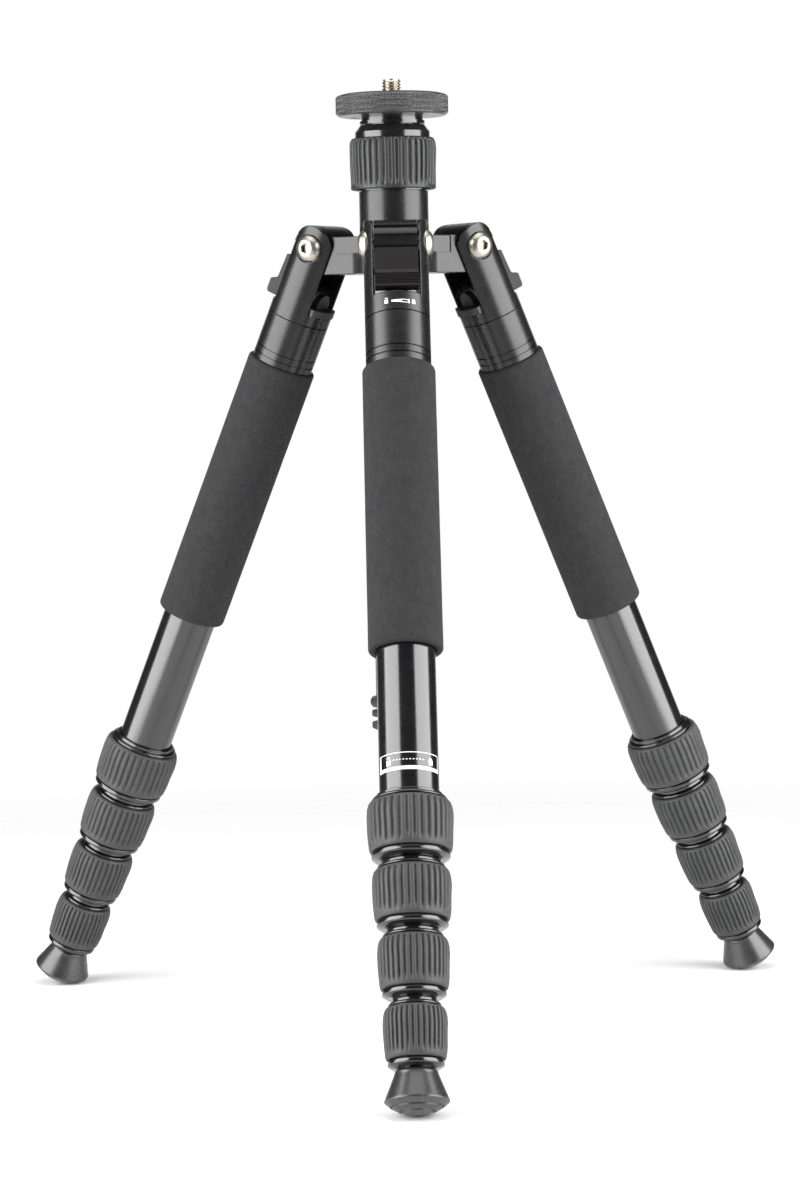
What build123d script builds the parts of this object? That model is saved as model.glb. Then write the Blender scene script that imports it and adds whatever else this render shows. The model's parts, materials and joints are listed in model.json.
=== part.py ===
from build123d import *
from math import cos, radians, sin, sqrt
import os

# Compact travel tripod: a three-armed spider carries a clamped centre column with a screw plate,
# and three folding legs of five telescopic sections, each section held by a twist lock.
#
# Lengths are millimetres, angles are degrees. +Z is up, Z = 0 is the floor and X = 0 is the plane
# of symmetry. The front leg points to -Y, and the origin is the middle of the rectangle that the
# three feet stand in. The spider, the column and the plate are drawn where they stand. The legs are
# drawn in a leg frame and then placed three times: its origin is the middle of the leg's hinge
# axis, X runs along that axis, +Y points outwards, and +Z runs down the leg, so that a height in
# it is a distance down the leg from the hinge.

os.makedirs("parts", exist_ok=True)

# ---- Driving dimensions -------------------------------------------------------------------

RUNNING = 0.05             # radial clearance of a running fit
PRESSED = 0.02             # gap between two pieces of one node, so that they stay two solids

# Stance
LEG_ANGLE = 24.5           # leg from the vertical, resting in its first notch
HINGE_RADIUS = 41.8        # column axis to hinge axis
HINGE_HEIGHT = 396.4       # floor to hinge axis
AZIMUTHS = {"front": -90, "left": 150, "right": 30}

# Leg tubes: outer radii from the thickest section to the thinnest
TUBE_RADII = [14.0, 12.5, 11.0, 9.5, 8.0]
TUBE_WALL = 1.0
FIRST_LOCK = 284.2         # hinge to the top of the first twist lock
LOCK_PITCH = 32.3
LOCK_LENGTH = 31.6
SHIM_LENGTH = 18.0

# Shoulder, collar and foam
SHOULDER_RADIUS = 16.0
EAR_RADIUS = 11.8
SLOT_WIDTH = 22.0
SLOT_FLOOR = 32.5          # hinge to the floor of the fork's slot
SEAM = {"front": 42.5, "left": 38.0, "right": 38.0}
SPIGOT_RADIUS = 12.0
SPIGOT_LENGTH = 14.0
COLLAR_LENGTH = 26.0
FOAM_RADIUS = 17.9
FOAM_LENGTH = 145.0

# Hinge screws
BOLT_RADIUS = 4.0          # M8
BOLT_HEAD_RADIUS = 7.0
BOLT_HEAD_HEIGHT = 4.4
BOLT_SEAT = 14.3           # leg's middle plane to the spot-face

# Latch
LATCH_WIDTH = 21.4
LATCH_PIVOT = (8.5, 19.0)  # outwards, down the leg
TRUNNION_RADIUS = 1.5

# Foot
FOOT_RADIUS = 15.0
FOOT_RIM = 427.5           # hinge to the widest ring of the foot
FOOT_DOME_RADIUS = 22.0

# Spider
SOFT_EDGE = 0.6            # rounding of the cast and turned edges
SPIDER_BOTTOM = 382.8
SPIDER_STEP = 393.3
SPIDER_TOP = 401.9
HUB_RADIUS = 21.5
SLEEVE_RADIUS = 17.55
SLEEVE_TOP = 424.0
ARM_WIDTH = 24.0
ARM_CORNER = 3.5
ARM_REACH = 28.0
BLOCK_REACH = 36.0
LUG_WIDTH = 21.4
LUG_RADIUS = 11.9
NOTCH_ANGLES = [-10.8, 17.0, 45.0]   # above the outward horizontal

# Centre column
COLUMN_RADIUS = 14.0
COLUMN_WALL = 1.4
COLUMN_BOTTOM = 168.0
COLUMN_TOP = 457.9

# Column lock
NUT_BOTTOM = 424.5
NUT_RADIUS = 19.0
NUT_SHOULDER = 454.0
NUT_TOP = 457.4
GRIP_BOTTOM = 425.0
GRIP_TOP = 451.0
GRIP_RADIUS = 22.0

# Head plate
PLATE_BOTTOM = 462.0
PLATE_TOP = 473.0
PLATE_RADIUS = 28.5
SCREW_RADIUS = 9.525 / 2   # 3/8 inch
SCREW_SHANK = 4.4          # radius inside the plate and in the relief just above it
COUNTERSINK = 0.9
SCREW_START = 473.4
SCREW_TOP = 480.5


# ---- Frames ------------------------------------------------------------------------------

# How far forwards and backwards the feet reach from the column axis; the origin is midway.
foot_out = HINGE_RADIUS + FOOT_RIM * sin(radians(LEG_ANGLE))
front_reach = foot_out + FOOT_RADIUS * cos(radians(LEG_ANGLE))
back_reach = foot_out / 2 + FOOT_RADIUS * sqrt(1 - (sin(radians(LEG_ANGLE)) / 2) ** 2)
COLUMN_Y = (front_reach - back_reach) / 2

COLUMN = Plane((0, COLUMN_Y, 0))
COLUMN_SIDE = Plane((0, COLUMN_Y, 0), x_dir=(1, 0, 0), z_dir=(0, -1, 0))
COLUMN_AXIS = Axis((0, COLUMN_Y, 0), (0, 0, 1))


def arm_frame(azimuth):
    """Upright plane along one arm: X runs outwards from the column axis, Y is up."""
    outwards = Vector(cos(radians(azimuth)), sin(radians(azimuth)), 0)
    return Plane((0, COLUMN_Y, 0), x_dir=outwards, z_dir=outwards.cross(Vector(0, 0, 1)))


def leg_frame(azimuth):
    """Leg frame of one leg at rest."""
    outwards = Vector(cos(radians(azimuth)), sin(radians(azimuth)), 0)
    hinge = Vector(0, COLUMN_Y, HINGE_HEIGHT) + outwards * HINGE_RADIUS
    down = outwards * sin(radians(LEG_ANGLE)) - Vector(0, 0, cos(radians(LEG_ANGLE)))
    return Plane(hinge, x_dir=Vector(0, 0, 1).cross(outwards), z_dir=down)


# ---- Shared shapes ---------------------------------------------------------------------------

def turn(outline, side=Plane.XZ, axis=Axis.Z, mode=Mode.ADD):
    """Revolves an outline of (radius, height) points, in the part being built."""
    with BuildSketch(side) as profile:
        with BuildLine():
            Polyline(*outline, close=True)
        make_face()
    revolve(profile.sketch, axis=axis, mode=mode)


def turn_column(outline, mode=Mode.ADD):
    """Revolves an outline of (radius, height) points about the column axis."""
    turn(outline, COLUMN_SIDE, COLUMN_AXIS, mode)


def ring(inner, outer, bottom, top):
    """Outline of a plain ring."""
    return [(inner, bottom), (outer, bottom), (outer, top), (inner, top)]


def write(part, name, azimuth):
    """Places a leg piece on its leg, labels it and writes it."""
    placed = part.moved(leg_frame(azimuth).location)
    placed.label = name
    export_step(placed, f"parts/{name}.step")


# ---- Spider and what is fixed to it -------------------------------------------------------

bush_radius = 15.0


def off_the_sleeve(edges, height):
    """Those of the edges that lie at one height, outside the sleeve."""
    centre = Vector(0, COLUMN_Y, height)
    level = edges.filter_by_position(Axis.Z, height - 0.01, height + 0.01)
    return level.filter_by(lambda edge: (edge @ 0.5 - centre).length > SLEEVE_RADIUS + 0.1)


with BuildPart() as spider:
    with BuildSketch(COLUMN.offset(SPIDER_BOTTOM)):
        Circle(HUB_RADIUS)
    extrude(amount=SPIDER_STEP - SPIDER_BOTTOM)
    with BuildSketch(COLUMN.offset(SPIDER_BOTTOM)):
        Circle(SLEEVE_RADIUS)
    extrude(amount=SLEEVE_TOP - SPIDER_BOTTOM)
    for azimuth in AZIMUTHS.values():
        arm = arm_frame(azimuth)
        # Wide band at the level of the hinge, with rounded outer corners and a soft upper edge
        with BuildSketch(Plane((0, COLUMN_Y, SPIDER_STEP), x_dir=arm.x_dir)):
            with Locations((ARM_REACH, 0)):
                band = Rectangle(ARM_REACH - 8, ARM_WIDTH, align=(Align.MAX, Align.CENTER))
            fillet(band.vertices().sort_by(Axis((0, 0, 0), arm.x_dir))[-2:], ARM_CORNER)
        extrude(amount=SPIDER_TOP - SPIDER_STEP)
        fillet(off_the_sleeve(spider.edges(Select.LAST), SPIDER_TOP), SOFT_EDGE)
        # Narrow block and the lug that the fork straddles
        with BuildSketch(arm):
            with Locations((BLOCK_REACH, SPIDER_BOTTOM)):
                Rectangle(BLOCK_REACH - 8, SPIDER_TOP - SPIDER_BOTTOM, align=(Align.MAX, Align.MIN))
            with Locations((HINGE_RADIUS, HINGE_HEIGHT)):
                Circle(LUG_RADIUS)
        extrude(amount=LUG_WIDTH / 2, both=True)
        # Notches that the latch holds the leg in
        with BuildSketch(arm):
            with Locations((HINGE_RADIUS, HINGE_HEIGHT)):
                for notch in NOTCH_ANGLES:
                    with PolarLocations(LUG_RADIUS, 1, start_angle=notch):
                        Rectangle(2.6, 2.8)
                Circle(BOLT_RADIUS + RUNNING)
        extrude(amount=LUG_WIDTH / 2 + 1, both=True, mode=Mode.SUBTRACT)
    # Threaded neck for the column lock, and the column's bore
    turn_column(ring(bush_radius, SLEEVE_RADIUS - 1, SLEEVE_TOP, SLEEVE_TOP + 16))
    with BuildSketch(COLUMN.offset(SPIDER_BOTTOM)):
        Circle(bush_radius)
    extrude(amount=60, mode=Mode.SUBTRACT)
    fillet(off_the_sleeve(spider.edges(), SPIDER_BOTTOM), SOFT_EDGE)
spider.part.label = "spider"
export_step(spider.part, "parts/spider.step")

with BuildPart() as column_bush:
    turn_column(ring(COLUMN_RADIUS + RUNNING, bush_radius, SPIDER_BOTTOM + 1, SLEEVE_TOP + 14))
column_bush.part.label = "column_bush"
export_step(column_bush.part, "parts/column_bush.step")

# Split tapered ring that the lock nut squeezes onto the column
with BuildPart() as column_collet:
    collet_bottom = SLEEVE_TOP + 16.3
    turn_column([
        (COLUMN_RADIUS + RUNNING, collet_bottom), (16.2, collet_bottom),
        (16.2, collet_bottom + 4), (14.9, collet_bottom + 10), (COLUMN_RADIUS + RUNNING, collet_bottom + 10)])
    with BuildSketch(COLUMN.offset(collet_bottom)):
        with Locations((-15, 0)):
            Rectangle(6, 1.2)
    extrude(amount=10, mode=Mode.SUBTRACT)
column_collet.part.label = "column_collet"
export_step(column_collet.part, "parts/column_collet.step")

# ---- Column lock ----------------------------------------------------------------------------

with BuildPart() as column_lock_nut:
    neck_bore = SLEEVE_RADIUS - 1 + RUNNING
    turn_column([
        (neck_bore, NUT_BOTTOM), (NUT_RADIUS, NUT_BOTTOM), (NUT_RADIUS, NUT_SHOULDER),
        (16.4, NUT_TOP), (14.5, NUT_TOP), (14.5, NUT_TOP - 5), (neck_bore, NUT_TOP - 10)])
column_lock_nut.part.label = "column_lock_nut"
export_step(column_lock_nut.part, "parts/column_lock_nut.step")

with BuildPart() as column_lock_grip:
    turn_column([
        (NUT_RADIUS, GRIP_BOTTOM), (GRIP_RADIUS - 0.8, GRIP_BOTTOM), (GRIP_RADIUS - 0.4, GRIP_BOTTOM + 1),
        (GRIP_RADIUS, GRIP_TOP - 5), (GRIP_RADIUS - 0.5, GRIP_TOP - 1), (GRIP_RADIUS - 1.6, GRIP_TOP),
        (NUT_RADIUS, GRIP_TOP)])
column_lock_grip.part.label = "column_lock_grip"
export_step(column_lock_grip.part, "parts/column_lock_grip.step")

# ---- Centre column and head plate --------------------------------------------------------

column_bore = COLUMN_RADIUS - COLUMN_WALL
lip_top = COLUMN_TOP + 1.6

with BuildPart() as column_tube:
    turn_column(ring(column_bore, COLUMN_RADIUS, COLUMN_BOTTOM, COLUMN_TOP))
column_tube.part.label = "column_tube"
export_step(column_tube.part, "parts/column_tube.step")

# Plug in the top of the column, with the lip that rests on the lock
with BuildPart() as column_head:
    turn_column([
        (0, COLUMN_TOP - 20), (column_bore, COLUMN_TOP - 20), (column_bore, COLUMN_TOP),
        (16.5, COLUMN_TOP), (16.5, lip_top), (15.6, lip_top), (15.6, PLATE_BOTTOM), (0, PLATE_BOTTOM)])
    with BuildSketch(COLUMN.offset(COLUMN_TOP - 20)):
        Circle(SCREW_SHANK)
    extrude(amount=30, mode=Mode.SUBTRACT)
column_head.part.label = "column_head"
export_step(column_head.part, "parts/column_head.step")

# Ribbed bumper that closes the bottom of the column
with BuildPart() as column_cap:
    turn_column([
        (0, 150), (14.6, 150), (16.2, 151), (16.2, 153.4), (13, 153.4), (13, 157), (16.2, 157),
        (16.2, 159.4), (13, 159.4), (13, 161.8), (16.0, 161.8), (16.9, 163.2), (16.9, 165.0),
        (16.0, 166.4), (COLUMN_RADIUS, 166.4), (COLUMN_RADIUS, COLUMN_BOTTOM),
        (column_bore, COLUMN_BOTTOM), (column_bore, COLUMN_BOTTOM + 12), (0, COLUMN_BOTTOM + 12)])
column_cap.part.label = "column_cap"
export_step(column_cap.part, "parts/column_cap.step")

set_screw_spot = (-19.0, 9.0)
with BuildPart() as head_plate:
    turn_column([
        (SCREW_SHANK, PLATE_BOTTOM), (PLATE_RADIUS - 1.3, PLATE_BOTTOM),
        (PLATE_RADIUS, PLATE_BOTTOM + 1.1), (PLATE_RADIUS, PLATE_TOP - 1.3),
        (PLATE_RADIUS - 1.3, PLATE_TOP - 0.6), (PLATE_RADIUS - 2.3, PLATE_TOP),
        (SCREW_SHANK + COUNTERSINK, PLATE_TOP), (SCREW_SHANK, PLATE_TOP - COUNTERSINK)])
    with BuildSketch(COLUMN.offset(PLATE_BOTTOM)):
        with Locations(set_screw_spot):
            Circle(2)
    extrude(amount=PLATE_TOP - PLATE_BOTTOM, mode=Mode.SUBTRACT)
head_plate.part.label = "head_plate"
export_step(head_plate.part, "parts/head_plate.step")

# Stud on a plain shank; its thread is drawn at the major diameter
with BuildPart() as head_screw:
    turn_column([
        (0, COLUMN_TOP - 15), (SCREW_SHANK, COLUMN_TOP - 15), (SCREW_SHANK, SCREW_START),
        (SCREW_RADIUS, SCREW_START), (SCREW_RADIUS, SCREW_TOP - 0.8), (SCREW_RADIUS - 0.8, SCREW_TOP),
        (0, SCREW_TOP)])
head_screw.part.label = "head_screw"
export_step(head_screw.part, "parts/head_screw.step")

# Grub screw that stops a head from turning on the plate
with BuildPart() as head_set_screw:
    with BuildSketch(COLUMN.offset(PLATE_BOTTOM + 0.8)):
        with Locations(set_screw_spot):
            Circle(2)
    extrude(amount=PLATE_TOP - PLATE_BOTTOM - 1)
    with BuildSketch(COLUMN.offset(PLATE_BOTTOM + 0.8)):
        with Locations(set_screw_spot):
            RegularPolygon(1, 6, major_radius=False)
    extrude(amount=2.5, mode=Mode.SUBTRACT)
head_set_screw.part.label = "head_set_screw"
export_step(head_set_screw.part, "parts/head_set_screw.step")

# ---- Leg pieces -------------------------------------------------------------------------------


def make_shoulder(seam):
    """Fork that straddles the lug, and the threaded spigot that the collar screws onto."""
    with BuildPart() as shoulder:
        with BuildSketch(Plane.XY.offset(-EAR_RADIUS)):
            Circle(SHOULDER_RADIUS)
        extrude(amount=EAR_RADIUS + seam)
        # Ears rounded about the hinge axis
        with BuildSketch(Plane.YZ):
            Circle(EAR_RADIUS)
            with Locations((0, seam / 2)):
                Rectangle(2 * SHOULDER_RADIUS, seam)
        extrude(amount=SHOULDER_RADIUS, both=True, mode=Mode.INTERSECT)
        with BuildSketch(Plane.XY.offset(SLOT_FLOOR)):
            Rectangle(SLOT_WIDTH, 2 * SHOULDER_RADIUS + 2)
        extrude(amount=-SLOT_FLOOR - EAR_RADIUS - 1, mode=Mode.SUBTRACT)
        # Soft edges round the ears and the slot; only the two corners of its floor stay sharp
        above_seam = shoulder.edges().filter_by(lambda edge: edge.bounding_box().max.Z < seam - 0.1)
        fillet(above_seam.filter_by(Axis.Y, reverse=True), SOFT_EDGE)
        # Spot-faces, hinge bore and the latch's blind trunnion holes
        for side in (-1, 1):
            with BuildSketch(Plane.YZ.offset(side * BOLT_SEAT)):
                Circle(BOLT_HEAD_RADIUS + 0.5)
            extrude(amount=side * 5, mode=Mode.SUBTRACT)
        with BuildSketch(Plane.YZ):
            Circle(BOLT_RADIUS)
        extrude(amount=BOLT_SEAT + 1, both=True, mode=Mode.SUBTRACT)
        with BuildSketch(Plane.YZ):
            with Locations(LATCH_PIVOT):
                Circle(TRUNNION_RADIUS + RUNNING)
        extrude(amount=SLOT_WIDTH / 2 + 1.6, both=True, mode=Mode.SUBTRACT)
        turn(ring(7, SPIGOT_RADIUS, seam, seam + SPIGOT_LENGTH))
    return shoulder.part


def make_collar(seam):
    """Collar that joins the first tube to the shoulder, with grooves turned near its lower end."""
    tube_top = seam + SPIGOT_LENGTH + 1
    bottom = seam + COLLAR_LENGTH
    with BuildPart() as collar:
        turn([
            (SPIGOT_RADIUS + RUNNING, seam + 0.3), (SHOULDER_RADIUS - 0.3, seam + 0.3),
            (SHOULDER_RADIUS, seam + 0.6), (SHOULDER_RADIUS, bottom - 0.4), (SHOULDER_RADIUS - 0.4, bottom),
            (TUBE_RADII[0], bottom), (TUBE_RADII[0], tube_top), (SPIGOT_RADIUS + RUNNING, tube_top)])
        for groove in (bottom - 7.7, bottom - 4.0):
            turn(ring(SHOULDER_RADIUS - 0.7, SHOULDER_RADIUS + 1, groove, groove + 0.8), mode=Mode.SUBTRACT)
    return collar.part


def make_foam(seam):
    """Foam sleeve on the first tube."""
    top = seam + COLLAR_LENGTH
    with BuildPart() as foam_grip:
        turn(ring(TUBE_RADII[0], FOAM_RADIUS, top, top + FOAM_LENGTH))
        fillet(foam_grip.edges().filter_by(GeomType.CIRCLE).sort_by(SortBy.RADIUS)[-2:], 1.4)
    return foam_grip.part


def make_bolts():
    """Two button-head screws that the leg turns on, one from each side."""
    head_top = BOLT_SEAT + BOLT_HEAD_HEIGHT
    with BuildPart() as hinge_bolts:
        with BuildSketch(Plane.XY):
            with BuildLine():
                Polyline((head_top, 3.6), (head_top, 0), (1, 0), (1, BOLT_RADIUS), (BOLT_SEAT, BOLT_RADIUS),
                         (BOLT_SEAT, BOLT_HEAD_RADIUS), (BOLT_SEAT + 0.8, BOLT_HEAD_RADIUS))
                ThreePointArc((BOLT_SEAT + 0.8, BOLT_HEAD_RADIUS), (BOLT_SEAT + 3.2, 5.6), (head_top, 3.6))
            make_face()
        revolve(axis=Axis.X)
        with BuildSketch(Plane.YZ.offset(head_top)):
            RegularPolygon(2.5, 6, major_radius=False)
        extrude(amount=-2.6, mode=Mode.SUBTRACT)
        mirror(about=Plane.YZ)
    return hinge_bolts.part


def make_latch():
    """Rocking pawl: its tip drops into the lug's notches, its ribbed pad is pressed to free them."""
    with BuildPart() as latch:
        with BuildSketch(Plane.YZ):
            with BuildLine():
                Polyline((10.2, 8.3), (13.3, 8.3), (13.9, 20.5))
                Spline((13.9, 20.5), (15.6, 22.2), (17.8, 24.0), tangents=((0.1, 1), (0.3, 1)))
                Polyline((17.8, 24.0), (17.8, 29.4), (16.6, 30.5), (10.6, 30.5), (6.4, 24.0),
                         (6.4, 15.5), (10.2, 8.3))
            make_face()
        extrude(amount=LATCH_WIDTH / 2, both=True)
        with BuildSketch(Plane.YZ):
            with Locations([(17.8, 24.6 + 1.2 * rib) for rib in range(5)]):
                Rectangle(0.8, 0.5)
        extrude(amount=LATCH_WIDTH / 2, both=True, mode=Mode.SUBTRACT)
        with BuildSketch(Plane.YZ):
            with Locations(LATCH_PIVOT):
                Circle(TRUNNION_RADIUS)
        extrude(amount=SLOT_WIDTH / 2 + 1.3, both=True)
    return latch.part


def make_latch_seat():
    """Plastic block on the slot's floor, behind the latch, with the peg that backs its spring."""
    with BuildPart() as latch_seat:
        with BuildSketch(Plane.XY.offset(SLOT_FLOOR - 3.6)):
            Circle(SHOULDER_RADIUS + 0.6)
            with Locations((0, -13)):
                Rectangle(LATCH_WIDTH, 14, mode=Mode.INTERSECT)
        extrude(amount=3.6)
        with BuildSketch(Plane.XZ.offset(7.5)):
            with Locations((0, SLOT_FLOOR - 1)):
                SlotOverall(20, 11, rotation=90)
            with Locations((0, SLOT_FLOOR + 10)):
                Rectangle(20, 20, mode=Mode.SUBTRACT)
        extrude(amount=3.5)
    return latch_seat.part


def make_tube(section, top):
    """Tube of one leg section, with its half-shell guide shims on top and the collet below it."""
    outer = TUBE_RADII[section]
    bore = outer - TUBE_WALL
    last = section == len(TUBE_RADII) - 1
    lock_top = FIRST_LOCK + LOCK_PITCH * section
    bottom = FOOT_RIM - 2 if last else lock_top + 18
    with BuildPart() as tube:
        turn(ring(bore, outer, top, bottom))
        if section > 0:
            shim_outer = TUBE_RADII[section - 1] - TUBE_WALL - RUNNING
            for side in (-1, 1):
                with BuildSketch(Plane.XY.offset(top)):
                    Circle(shim_outer)
                    Circle(outer + PRESSED, mode=Mode.SUBTRACT)
                    with Locations((side * 10.4, 0)):
                        Rectangle(20, 40, mode=Mode.INTERSECT)
                extrude(amount=SHIM_LENGTH)
        if not last:
            # Tapered collet, split on one side
            inner = TUBE_RADII[section + 1] + RUNNING
            turn([(inner, bottom + 0.3), (outer - 0.4, bottom + 0.3), (outer - 0.4, bottom + 4),
                  (inner + 0.5, bottom + 10), (inner, bottom + 10)])
            with BuildSketch(Plane.XY.offset(bottom + 0.2)):
                with Locations((outer, 0)):
                    Rectangle(6, 1)
            extrude(amount=11, mode=Mode.SUBTRACT)
    return tube.part


def make_lock(section):
    """Twist lock below one section: the threaded nut, and the rubber sleeve on it."""
    upper, lower = TUBE_RADII[section], TUBE_RADII[section + 1]
    grip = 5.5 + 1.18 * lower
    body = grip - 3.2
    top = FIRST_LOCK + LOCK_PITCH * section
    bottom = top + LOCK_LENGTH
    sleeve_top, sleeve_bottom = top + 3.5, bottom - 4.1
    with BuildPart() as lock:
        turn([
            (upper + RUNNING, top), (grip - 4.6, top), (grip - 4.6, top + 1.6), (grip - 2.7, top + 1.6),
            (grip - 2.7, sleeve_top), (body, sleeve_top), (body, sleeve_bottom), (grip - 2.2, sleeve_bottom),
            (grip - 2.2, sleeve_bottom + 1.4), (grip - 4.2, bottom), (lower + 0.4, bottom),
            (lower + 0.4, bottom - 2.4), (upper + RUNNING, top + 25)])
        inside, first, last = body + PRESSED, sleeve_top + PRESSED, sleeve_bottom - PRESSED
        turn([
            (inside, first), (grip - 1.9, first), (grip - 0.8, first + 1.5), (grip, first + 6),
            (grip - 0.8, last - 1.5), (grip - 1.6, last), (inside, last)])
    return lock.part


def make_foot():
    """Rubber foot: a cone that flares to its rim, over a domed tread that meets the floor."""
    dome_centre = (HINGE_HEIGHT - FOOT_DOME_RADIUS) / cos(radians(LEG_ANGLE))
    tread = 13.4
    tread_edge = dome_centre + sqrt(FOOT_DOME_RADIUS ** 2 - tread ** 2)
    apex = dome_centre + FOOT_DOME_RADIUS
    halfway = (6.9, dome_centre + sqrt(FOOT_DOME_RADIUS ** 2 - 6.9 ** 2))
    top = FIRST_LOCK + LOCK_PITCH * 3 + LOCK_LENGTH + 0.6
    with BuildPart() as foot:
        with BuildSketch(Plane.XZ):
            with BuildLine():
                Polyline((0, apex), (0, FOOT_RIM - 2), (TUBE_RADII[-1], FOOT_RIM - 2), (TUBE_RADII[-1], top),
                         (9.7, top), (10.2, top + 1.2), (FOOT_RADIUS, FOOT_RIM - 1), (FOOT_RADIUS, FOOT_RIM),
                         (tread, tread_edge))
                ThreePointArc((tread, tread_edge), halfway, (0, apex))
            make_face()
        revolve(axis=Axis.Z)
    return foot.part


# ---- The three legs ------------------------------------------------------------------------

hinge_bolts = make_bolts()
latch = make_latch()
latch_seat = make_latch_seat()
foot = make_foot()
locks = [make_lock(section) for section in range(4)]
inner_tubes = [make_tube(section, 57.0 + 3 * section) for section in range(1, 5)]

for side, azimuth in AZIMUTHS.items():
    seam = SEAM[side]
    write(make_shoulder(seam), f"{side}_shoulder", azimuth)
    write(make_collar(seam), f"{side}_collar", azimuth)
    write(make_foam(seam), f"{side}_foam_grip", azimuth)
    write(make_tube(0, seam + SPIGOT_LENGTH + 1), f"{side}_tube_1", azimuth)
    write(hinge_bolts, f"{side}_hinge_bolts", azimuth)
    write(latch, f"{side}_latch", azimuth)
    write(latch_seat, f"{side}_latch_seat", azimuth)
    for number, tube in enumerate(inner_tubes, start=2):
        write(tube, f"{side}_tube_{number}", azimuth)
    for number, lock in enumerate(locks, start=1):
        write(lock, f"{side}_lock_{number}", azimuth)
    write(foot, f"{side}_foot", azimuth)
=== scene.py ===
"""Finished surfaces, materials, stage and camera of a compact travel tripod, built around its CAD frame."""

import json
import math

import bpy
import numpy as np
from bpy.props import FloatProperty, FloatVectorProperty, IntProperty, PointerProperty
from mathutils import Matrix


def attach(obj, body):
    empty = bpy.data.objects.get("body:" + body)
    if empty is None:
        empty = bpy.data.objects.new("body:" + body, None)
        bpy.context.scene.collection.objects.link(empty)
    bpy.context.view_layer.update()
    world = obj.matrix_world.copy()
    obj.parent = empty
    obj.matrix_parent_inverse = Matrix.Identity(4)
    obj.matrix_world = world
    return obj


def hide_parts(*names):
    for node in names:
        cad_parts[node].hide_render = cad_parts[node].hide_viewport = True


bl_info = {
    "name": "Travel Tripod Finish",
    "version": (1, 0, 0),
    "blender": (4, 5, 0),
    "location": "View3D > Sidebar > Tripod",
    "description": "Builds the finished surfaces of a travel tripod around its CAD frame",
    "category": "Object",
}

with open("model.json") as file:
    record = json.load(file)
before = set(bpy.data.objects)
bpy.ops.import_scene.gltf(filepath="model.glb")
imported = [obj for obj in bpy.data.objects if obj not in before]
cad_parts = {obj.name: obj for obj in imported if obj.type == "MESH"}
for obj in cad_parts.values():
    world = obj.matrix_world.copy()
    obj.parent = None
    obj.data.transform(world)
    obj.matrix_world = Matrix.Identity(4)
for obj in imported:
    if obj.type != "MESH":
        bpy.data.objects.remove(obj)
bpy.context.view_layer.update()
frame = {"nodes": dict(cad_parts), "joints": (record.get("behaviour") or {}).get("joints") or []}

JOINTS = {joint["name"]: joint for joint in frame["joints"]}
SIDES = ("front", "left", "right")
MM = 0.001
SECTION_RADII = np.array([14.0, 12.5, 11.0, 9.5, 8.0]) * MM
RUNNING = 0.05 * MM         # gap round a tube
SLEEVE_DROP = 3.5 * MM      # top of a twist lock to the top of its rubber sleeve
SLEEVE_LIFT = 4.1 * MM      # foot of a twist lock to the foot of its rubber sleeve
PRESSED = 0.02 * MM         # gap between pieces that are pressed together
FINE_DUST = 1600.0
RUBBER_DUST = 1500.0


# ---- Frames ----------------------------------------------------------------------------------

class Frame:
    """A place with three axes; the third is the axis that turned pieces are turned about."""

    def __init__(self, origin, across, outwards, along):
        self.origin = np.array(origin, float)
        self.axes = np.array([across, outwards, along], float)

    def place(self, points):
        """Points of this frame, in the row frame."""
        return points @ self.axes + self.origin

    def read(self, node):
        """Corner points of a CAD node, in this frame."""
        mesh = frame["nodes"][node].data
        points = np.empty(len(mesh.vertices) * 3)
        mesh.vertices.foreach_get("co", points)
        return (points.reshape(-1, 3) - self.origin) @ self.axes.T

    def span(self, node):
        """(largest radius, lowest height, highest height) of a CAD node, in this frame."""
        points = self.read(node)
        return np.hypot(points[:, 0], points[:, 1]).max(), points[:, 2].min(), points[:, 2].max()


def leg_frame(side):
    """Frame of one leg: its origin is on the hinge axis, and it runs down the leg."""
    across = JOINTS[f"{side}_latch_press"]["axis"]
    down = JOINTS[f"{side}_section_2_slide"]["axis"]
    return Frame(JOINTS[f"{side}_leg_fold"]["pos_m"], across, np.cross(down, across), down)


LEGS = {side: leg_frame(side) for side in SIDES}
COLUMN = Frame([*JOINTS["column_lock_twist"]["pos_m"][:2], 0], (1, 0, 0), (0, 1, 0), (0, 0, 1))


def upper_body(side):
    """The body that a leg's thickest tube belongs to."""
    return "front_monopod" if side == "front" else f"{side}_leg"


# ---- Surfaces --------------------------------------------------------------------------------

def soften(outline, radius, steps=4, closed=True):
    """Rounds an outline's corners: each corner becomes a quadratic curve that starts and ends at most
    radius from it, and never past the middle of a side."""
    points = np.array(outline, float)
    before, after = np.roll(points, 1, axis=0), np.roll(points, -1, axis=0)
    back, ahead = before - points, after - points
    back_length = np.linalg.norm(back, axis=1, keepdims=True)
    ahead_length = np.linalg.norm(ahead, axis=1, keepdims=True)
    reach = np.minimum(radius, 0.45 * np.minimum(back_length, ahead_length))
    start, end = points + back / back_length * reach, points + ahead / ahead_length * reach
    u = np.linspace(0, 1, steps + 1)[None, :, None]
    curve = (1 - u) ** 2 * start[:, None] + 2 * u * (1 - u) * points[:, None] + u ** 2 * end[:, None]
    if closed:
        return curve.reshape(-1, 2)
    return np.concatenate([points[:1], curve[1:-1].reshape(-1, 2), points[-1:]])


def divide(outline, longest, closed=True):
    """Adds points along an outline so that no step is longer than longest."""
    points = np.array(outline, float)
    ends = np.roll(points, -1, axis=0) if closed else points[1:]
    starts = points if closed else points[:-1]
    pieces = []
    for start, end in zip(starts, ends):
        count = max(1, math.ceil(np.linalg.norm(end - start) / longest))
        pieces.append(start + (end - start) * np.linspace(0, 1, count, endpoint=False)[:, None])
    if not closed:
        pieces.append(points[-1:])
    return np.concatenate(pieces)


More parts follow.
